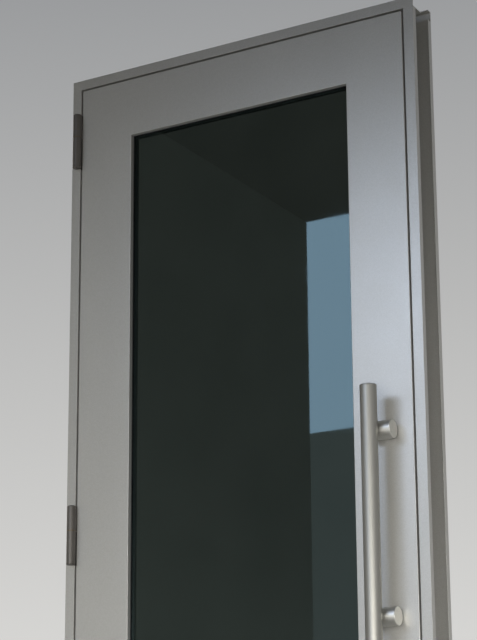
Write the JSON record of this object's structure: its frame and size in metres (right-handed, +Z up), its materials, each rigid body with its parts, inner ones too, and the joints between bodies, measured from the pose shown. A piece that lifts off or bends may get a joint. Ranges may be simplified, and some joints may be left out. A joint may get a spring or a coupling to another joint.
{
  "type": "glass entrance door",
  "caption": "Silver-grey steel entrance door with one tall dark glass pane, long pull bars and its frame.",
  "frame": {"origin": "on the floor, at the middle of the opening's width and of the leaf's thickness", "axes": "+X from the hinges to the lock, +Y from outdoors to indoors, +Z up"},
  "size_m": [0.96, 0.2018, 2.348],
  "materials": {
    "frame_paint": "satin silver grey",
    "leaf_paint": "satin silver grey",
    "bead_paint": "satin silver grey",
    "stainless_satin": "satin",
    "galvanised": "dull zinc coat",
    "hinge_bronze": "satin dark bronze",
    "hardened_steel": "ground",
    "screw_zinc": "zinc plated",
    "bearing_brass": "plain",
    "nickel_brass": "satin nickel plate",
    "tinted_glass": "polished, dark tint",
    "black_rubber": "matte",
    "block_plastic": "matte"
  },
  "bodies": {
    "frame": {"hinge_jamb": "frame_paint", "lock_jamb": "frame_paint", "head": "frame_paint", "sill": "stainless_satin", "seal_hinge_side": "black_rubber", "seal_lock_side": "black_rubber", "seal_head": "black_rubber", "seal_sill": "black_rubber", "strike_plate": "stainless_satin", "strike_dust_box": "galvanised", "frame_hinge_backing": "galvanised", "frame_screws": "screw_zinc", "hinge_washers": "bearing_brass", "hinge_top_frame_leaf": "hinge_bronze", "hinge_top_pin": "hardened_steel", "hinge_middle_frame_leaf": "hinge_bronze", "hinge_middle_pin": "hardened_steel", "hinge_bottom_frame_leaf": "hinge_bronze", "hinge_bottom_pin": "hardened_steel"},
    "leaf": {"bar_screws": "hardened_steel", "bead_screws": "screw_zinc", "bottom_channel": "galvanised", "glass_pane": "tinted_glass", "glazing_bead_bottom": "bead_paint", "glazing_bead_left": "bead_paint", "glazing_bead_right": "bead_paint", "glazing_bead_top": "bead_paint", "hinge_bottom_door_leaf": "hinge_bronze", "hinge_middle_door_leaf": "hinge_bronze", "hinge_side_channel": "galvanised", "hinge_top_door_leaf": "hinge_bronze", "inner_gasket": "black_rubber", "inner_post_lower": "stainless_satin", "inner_post_upper": "stainless_satin", "inner_pull_bar": "stainless_satin", "inner_rose": "stainless_satin", "key_cylinder": "nickel_brass", "leaf_back_skin": "leaf_paint", "leaf_front_skin": "leaf_paint", "leaf_hinge_backing": "galvanised", "leaf_screws": "screw_zinc", "lock_case": "galvanised", "lock_face_plate": "stainless_satin", "lock_side_channel": "galvanised", "outer_gasket": "black_rubber", "outer_post_lower": "stainless_satin", "outer_post_upper": "stainless_satin", "outer_pull_bar": "stainless_satin", "setting_blocks": "block_plastic", "spacer_tubes": "galvanised", "through_studs": "hardened_steel", "top_channel": "galvanised", "window_channel_head": "galvanised", "window_channel_left": "galvanised", "window_channel_right": "galvanised", "window_channel_sill": "galvanised"},
    "turn": {"thumb_turn": "stainless_satin", "lock_cam": "hardened_steel"},
    "bolt": {"deadbolt": "hardened_steel"},
    "plug": {"key_plug": "nickel_brass"}
  },
  "joints": [
    {"name": "door_swing", "type": "hinge", "parent": "frame", "child": "leaf", "pos_m": [-0.458, -0.032, 1.163], "axis": [0, 0, -1], "range_deg": [0, 100]},
    {"name": "thumb_turn_spin", "type": "hinge", "parent": "leaf", "child": "turn", "pos_m": [0.41, 0, 0.658], "axis": [0, 1, 0], "range_deg": [0, 90]},
    {"name": "deadbolt_slide", "type": "slide", "parent": "leaf", "child": "bolt", "axis": [1, 0, 0], "range_m": [0, 0.02]},
    {"name": "key_plug_spin", "type": "hinge", "parent": "leaf", "child": "plug", "pos_m": [0.41, -0.02, 0.658], "axis": [0, 1, 0], "range_deg": [0, 90]}
  ],
  "couplings": [
    {"joint": "thumb_turn_spin", "follows": "deadbolt_slide", "rad_per_m": 78.53},
    {"joint": "key_plug_spin", "follows": "deadbolt_slide", "rad_per_m": 78.53}
  ]
}
